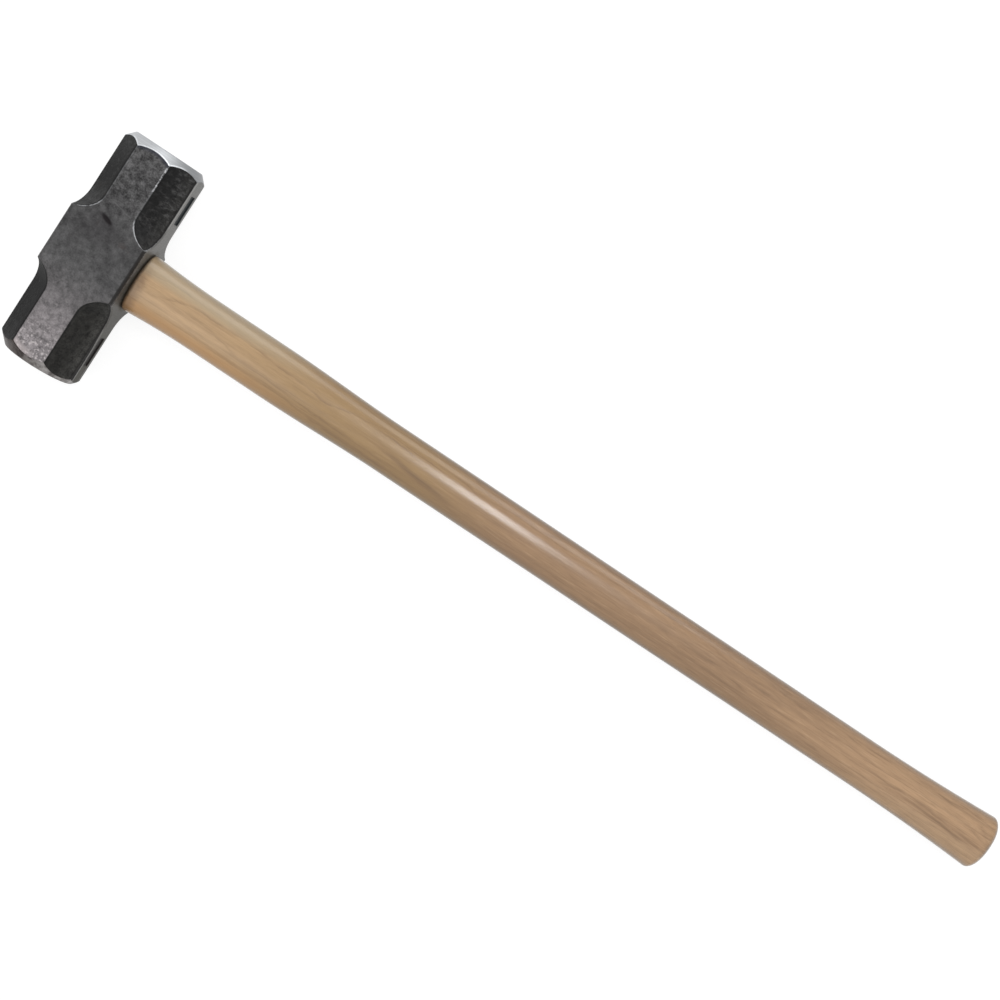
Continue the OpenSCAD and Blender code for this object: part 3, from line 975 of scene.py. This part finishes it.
# Pore lines on the upper side: strength, half width, and points (x, y) that each runs through
PORE_LINES = [
    (0.55, 0.8, [(66, 2.0), (78, 5.5), (92, 8.5), (112, 8.0), (142, 9.5), (170, 7.0),
                 (210, 5.0), (222, 3.0), (231, 5.0), (246, 8.3), (290, 8.5), (308, 6.5)]),
    (0.40, 0.8, [(330, 11.5), (354, 11.5), (366, 10.0), (392, 12.0), (412, 14.0), (424, 12.0),
                 (440, 15.5), (458, 18.0)]),
    (0.50, 0.9, [(84, -12.2), (112, -11.8), (142, -13.0), (190, -12.6), (215, -15.0),
                 (300, -15.4)]),
    (0.45, 0.8, [(150, -7.0), (190, -8.4), (220, -10.0), (252, -10.5)]),
    (0.30, 0.8, [(86, 1.0), (106, 0.8), (140, -6.2)]),
    (0.30, 1.0, [(40, 13.5), (66, 15.0), (100, 14.0)]),
    (0.40, 1.2, [(520, -2.0), (550, 2.0), (572, -2.0), (600, 0.0), (640, -3.0)]),
    (0.40, 1.0, [(575, 4.0), (630, 5.0), (668, 4.0)]),
    (0.35, 1.0, [(538, -7.0), (590, -6.0), (650, -6.0)]),
    (0.50, 1.4, [(655, 13.0), (680, 12.5), (704, 13.5)]),
    (0.55, 0.9, [(775, -3.0), (800, 0.5), (830, -2.0), (884, -5.5)]),
    (0.40, 0.9, [(780, -5.5), (815, -4.0), (850, -7.0), (884, -9.0)]),
    (0.35, 0.9, [(826, 7.0), (852, 6.0), (868, 8.5)]),
    (0.40, 0.9, [(846, 8.0), (864, 3.0), (884, -3.0)]),
]


def pore_lines(s, place, x, y, z):
    """Dark pore lines on the upper side of the handle."""
    quiver = s.less(s.noise(place, (8.0, 5.0, 5.0), 2.0), 0.5)
    y = s.add(y, s.times(quiver, 2.4))
    fade = 12.0
    total = 0.0
    for strength, width, points in PORE_LINES:
        start, end = points[0][0], points[-1][0]
        away = s.less(y, s.curve(x, points))
        line = s.times(
            s.math("MINIMUM", s.span(away, -1.2 * width, 0.0), s.span(away, 3.5 * width, 0.0)),
            s.span(x, start - fade, start + fade),
            s.span(x, end + fade, end - fade),
            strength,
        )
        total = s.most(line, total)
    broken = s.span(s.noise(place, (16.0, 6.0, 6.0), 2.0), 0.3, 0.7, 0.3, 0.75)
    return s.times(total, broken, s.span(z, AXIS_Z, AXIS_Z + 6.0))


def wood_colour(s, place, x, y, ends, dark, line):
    """Colour along the timber, clouded, streaked and lined with a darker one."""
    fibre = s.noise(place, (24.0, 0.7, 0.7), 4.0, 0.65)
    band = s.noise(place, (150.0, 6.0, 6.0), 3.0, 0.55)
    cloud = s.noise(place, (14.0, 3.0, 3.0), 3.0, 0.6)
    head_end, neck, middle, butt_end = ends
    colour = s.mix(s.span(x, 80.0, 240.0), head_end, neck)
    colour = s.mix(s.span(x, 300.0, 420.0), colour, middle)
    colour = s.mix(s.span(x, 620.0, 800.0), colour, butt_end)
    sapwood = s.times(s.span(x, 720.0, 820.0), s.span(y, -3.0, -9.0), 0.4)
    colour = s.mix(sapwood, colour, PALE_WOOD)
    fleck = s.noise(place, (22.0, 1.9, 1.9), 3.0, 0.6)
    flecked = s.span(x, 300.0, 560.0, 0.5, 1.0)
    colour = s.mix(s.times(flecked, s.span(fleck, 0.50, 0.72, 0.0, 0.30)), colour, dark)
    colour = s.mix(s.times(flecked, s.span(fleck, 0.47, 0.28, 0.0, 0.24)), colour, PALE_WOOD)
    colour = s.mix(s.span(band, 0.35, 0.7, 0.0, 0.22), colour, dark)
    colour = s.mix(s.span(cloud, 0.4, 0.75, 0.0, 0.12), colour, dark)
    heart = s.times(s.attribute("heartwood"), s.span(fibre, 0.25, 0.6, 0.6, 1.0))
    colour = s.mix(heart, colour, dark)
    colour = s.mix(line, colour, dark)
    return s.mix(s.span(fibre, 0.45, 0.75, 0.0, 0.16), colour, dark), fibre


def neck_dark_band(s, place, x, z):
    """A black band where the handle leaves the head, widest on its upper and lower sides."""
    uneven = s.times(s.noise(place, (3.0, 4.0, 4.0), 3.0), 2.4)
    off_side = s.size(s.less(z, AXIS_Z))
    edge = s.less(s.add(x, uneven), s.span(off_side, 6.0, 19.0, 0.0, 1.6))
    return s.times(s.span(edge, HALF_WIDTH + 4.2, HALF_WIDTH + 0.8), s.span(x, *OUT_OF_HEAD))


def neck_stain(s, place, x, y):
    """A brown stain that spreads from the black band along the handle."""
    edge = s.add(x, s.times(s.noise(place, (9.0, 4.0, 4.0), 3.0, 0.6), 10.0))
    spread = s.span(edge, HALF_WIDTH + 19.0, HALF_WIDTH + 10.0)
    return s.times(spread, s.span(y, 16.0, 6.0, 0.3, 1.0), s.span(x, *OUT_OF_HEAD))


def wood_material(name, ends, dark, spacing, shift):
    """Varnished timber: four colours from head to butt, lined and pored with a dark one."""
    s = Shader(name)
    place = s.place()
    x, y, z = s.split(place)
    grown = growth_lines(s, place, spacing, shift)
    plain = s.span(z, AXIS_Z + 8.0, AXIS_Z, 0.34, 0.65)
    strength = s.times(plain, s.span(s.noise(place, (90.0, 12.0, 12.0), 2.0), 0.34, 0.66))
    end_grain = s.attribute("end_grain")
    strength = s.most(strength, s.times(end_grain, 0.6))
    line = s.most(s.times(grown, strength), pore_lines(s, place, x, y, z))
    colour, fibre = wood_colour(s, place, x, y, ends, dark, line)
    pore = s.noise(place, (4.0, 0.35, 0.35), 2.0)
    pores = s.times(s.span(pore, 0.60, 0.72), s.span(line, 0.0, 0.5, 0.2, 0.8))
    colour = s.mix(s.times(pores, 0.45), colour, dark)
    colour = s.mix(s.times(end_grain, 0.35), colour, dark)
    exposed = s.span(x, *OUT_OF_HEAD)
    off_side = s.size(s.less(z, AXIS_Z))
    shaded = s.between(exposed, 1.0, s.span(off_side, 4.0, 12.0, 0.68, 1.0))
    colour = s.vector("SCALE", colour, scale=shaded)
    # Painted sheen: a pale grey band along the +Y edge near the head
    edge_sheen = s.times(s.span(y, 7.0, 14.0), s.span(x, 230.0, 120.0), exposed, 0.5)
    colour = s.mix(edge_sheen, colour, EDGE_SHEEN)
    amber = s.times(s.span(y, -9.0, -18.0), s.span(x, 250.0, 110.0), exposed, 0.6)
    colour = s.mix(amber, colour, AMBER)
    colour = s.mix(s.times(neck_stain(s, place, x, y), 0.55), colour, dark)
    # A black band where the handle leaves the head
    colour = s.mix(s.times(neck_dark_band(s, place, x, z), 0.9), colour, NECK_DARK_BAND)
    s.set(
        Base_Color=colour,
        Roughness=s.span(fibre, 0.3, 0.7, 0.42, 0.52),
        Normal=s.bump(s.add(s.times(fibre, 0.6), s.times(pores, -1.0)), 0.05),
        Specular_IOR_Level=0.05,
        Coat_Weight=1.0,
        Coat_Roughness=0.22,
    )
    return s.material


SCALE_DARK, SCALE_LIGHT = (0.12, 0.115, 0.11), (0.22, 0.215, 0.21)
STRUCK_STEEL = (0.33, 0.325, 0.32)


def wedge_steel_material():
    """Scaly mild steel, brighter on the end that was struck."""
    s = Shader("wedge_mild_steel")
    place = s.place()
    x, _, _ = s.split(place)
    scale = s.noise(place, 3.0, 4.0, 0.65)
    struck = s.span(x, TONGUE_X + 1.0, TONGUE_X + 0.2)
    colour = s.mix(s.span(scale, 0.3, 0.7), SCALE_DARK, SCALE_LIGHT)
    colour = s.mix(s.times(struck, s.span(scale, 0.2, 0.8, 0.2, 0.8)), colour, STRUCK_STEEL)
    s.set(
        Base_Color=colour,
        Roughness=s.span(scale, 0.3, 0.7, 0.5, 0.32),
        Normal=s.bump(s.noise(place, 1.2, 3.0), 0.12),
        Metallic=1.0,
    )
    return s.material


FLOOR_GREY = 0.22
FLOOR_GLOW = 0.86
FLOOR_SIZE = 60.0
# The world's light: its strength at the horizon and above, and the height where it is full
SKY_LOW, SKY_HIGH = 0.08, 0.90
SKY_FULL_HEIGHT = 0.8


def floor_material():
    """Grey to the light and white to the eye, so that the shadow stays; clear from below."""
    material = bpy.data.materials.new("floor")
    material.use_nodes = True
    tree = material.node_tree
    tree.nodes.clear()
    share = tree.nodes.new("ShaderNodeMath")
    share.operation = "MULTIPLY"
    share.inputs[1].default_value = FLOOR_GLOW
    tree.links.new(seen_directly(tree), share.inputs[0])
    glow = tree.nodes.new("ShaderNodeEmission")
    tree.links.new(share.outputs[0], glow.inputs["Strength"])
    paint = tree.nodes.new("ShaderNodeBsdfDiffuse")
    paint.inputs["Color"].default_value = (FLOOR_GREY, FLOOR_GREY, FLOOR_GREY, 1)
    both = tree.nodes.new("ShaderNodeAddShader")
    tree.links.new(glow.outputs[0], both.inputs[0])
    tree.links.new(paint.outputs[0], both.inputs[1])
    geometry = tree.nodes.new("ShaderNodeNewGeometry")
    clear = tree.nodes.new("ShaderNodeBsdfTransparent")
    sides = tree.nodes.new("ShaderNodeMixShader")
    tree.links.new(geometry.outputs["Backfacing"], sides.inputs[0])
    tree.links.new(both.outputs[0], sides.inputs[1])
    tree.links.new(clear.outputs[0], sides.inputs[2])
    output = tree.nodes.new("ShaderNodeOutputMaterial")
    tree.links.new(sides.outputs[0], output.inputs["Surface"])
    return material


def seen_directly(tree):
    """1 for rays from the eye, from a glossy surface or through a clear one, and 0 for others."""
    path = tree.nodes.new("ShaderNodeLightPath")
    total = path.outputs["Is Camera Ray"]
    for name in ("Is Glossy Ray", "Is Transmission Ray"):
        larger = tree.nodes.new("ShaderNodeMath")
        larger.operation = "MAXIMUM"
        tree.links.new(total, larger.inputs[0])
        tree.links.new(path.outputs[name], larger.inputs[1])
        total = larger.outputs[0]
    return total


def build_floor(handle):
    """A floor that the hammer rests on with the lower edge of its block and with its butt."""
    places = places_mm(handle.data) + [0, 0, AXIS_Z]
    shaft = places[places[:, 0] > 10 * HALF_WIDTH]
    rise = np.min(shaft[:, 2] / (shaft[:, 0] - HALF_WIDTH))
    edge = HALF_WIDTH * MM
    corners = [
        (edge + side * FLOOR_SIZE, across * FLOOR_SIZE, side * FLOOR_SIZE * rise)
        for side, across in ((-1, -1), (1, -1), (1, 1), (-1, 1))
    ]
    mesh = bpy.data.meshes.new("floor")
    mesh.from_pydata(corners, [], [(0, 1, 2, 3)])
    mesh.update()
    mesh.materials.append(floor_material())
    floor = bpy.data.objects.new("floor", mesh)
    bpy.context.scene.collection.objects.link(floor)


def build_world():
    """Soft light from above that fades to the horizon, with a white backdrop."""
    world = bpy.data.worlds.new("studio")
    bpy.context.scene.world = world
    world.use_nodes = True
    tree = world.node_tree
    background = tree.nodes["Background"]
    background.inputs["Color"].default_value = (1, 1, 1, 1)
    coordinates = tree.nodes.new("ShaderNodeTexCoord")
    split = tree.nodes.new("ShaderNodeSeparateXYZ")
    tree.links.new(coordinates.outputs["Generated"], split.inputs[0])
    fade = tree.nodes.new("ShaderNodeMapRange")
    fade.interpolation_type = "SMOOTHSTEP"
    fade.inputs["From Min"].default_value = 0.0
    fade.inputs["From Max"].default_value = SKY_FULL_HEIGHT
    fade.inputs["To Min"].default_value = SKY_LOW
    fade.inputs["To Max"].default_value = SKY_HIGH
    tree.links.new(split.outputs[2], fade.inputs["Value"])
    larger = tree.nodes.new("ShaderNodeMath")
    larger.operation = "MAXIMUM"
    tree.links.new(fade.outputs[0], larger.inputs[0])
    tree.links.new(seen_directly(tree), larger.inputs[1])
    tree.links.new(larger.outputs[0], background.inputs["Strength"])


def area_light(name, place, aim, size, power):
    """A rectangular lamp at a place, turned to its aim; metres and watts."""
    data = bpy.data.lights.new(name, "AREA")
    data.shape = "RECTANGLE"
    data.size, data.size_y = size
    data.energy = power
    light = bpy.data.objects.new(name, data)
    bpy.context.scene.collection.objects.link(light)
    light.location = place
    light.rotation_mode = "QUATERNION"
    light.rotation_quaternion = (Vector(aim) - Vector(place)).to_track_quat("-Z", "Y")


def build_lights():
    """A narrow key lamp for the handle's highlight, and two broad ones."""
    area_light("key", (0.38, 0.41, 1.55), (0.38, 0.0, 0.0), (0.08, 0.60), 5.6)
    area_light("left", (-0.40, -0.60, 1.50), (0.05, -0.05, 0.05), (0.90, 0.90), 2.0)
    area_light("side", (0.25, 1.45, 0.60), (0.25, 0.0, 0.05), (1.20, 0.70), 5.0)


# The camera that the photograph's perspective gives: metres, and millimetres for the lens
CAMERA_PLACE = Vector((0.38761, 0.09706, 1.36887))
CAMERA_AIM = Vector((0.38494, 0.01558, 0.03600))
CAMERA_UP = Vector((-0.55415, 0.83094, -0.04969))
CAMERA_LENS = 58.1
CAMERA_SENSOR = 36.0


def build_camera():
    data = bpy.data.cameras.new("camera")
    data.sensor_width = CAMERA_SENSOR
    data.lens = CAMERA_LENS
    camera = bpy.data.objects.new("camera", data)
    bpy.context.scene.collection.objects.link(camera)
    back = (CAMERA_PLACE - CAMERA_AIM).normalized()
    right = CAMERA_UP.cross(back).normalized()
    turn = Matrix((right, back.cross(right), back)).transposed()
    camera.matrix_world = Matrix.Translation(CAMERA_PLACE) @ turn.to_4x4()
    bpy.context.scene.camera = camera


def dress(piece, node, material):
    """Gives a piece its material and puts it in a CAD node's place."""
    piece.data.materials.clear()
    piece.data.materials.append(material)
    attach(piece, "root")
    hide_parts(node)


def main():
    bpy.context.scene.view_settings.view_transform = "Standard"
    build_camera()
    build_world()
    build_lights()
    head = build_head()
    dress(head, "hammer_head", forged_material())
    handle = build_handle()
    hickory = wood_material(
        "varnished_hickory", HICKORY, HICKORY_DARK, HICKORY_LAYER, (0.0, 0.0, 0.0)
    )
    dress(handle, "handle", hickory)
    build_floor(handle)
    timber = wood_material("wedge_hardwood", WEDGE_WOOD, WEDGE_DARK, WEDGE_LAYER, WEDGE_SHIFT)
    wedge_steel = wedge_steel_material()
    for node, material in (
        ("timber_wedge", timber),
        ("steel_wedge_left", wedge_steel),
        ("steel_wedge_right", wedge_steel),
    ):
        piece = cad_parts[node]
        piece.data.materials.clear()
        piece.data.materials.append(material)


main()
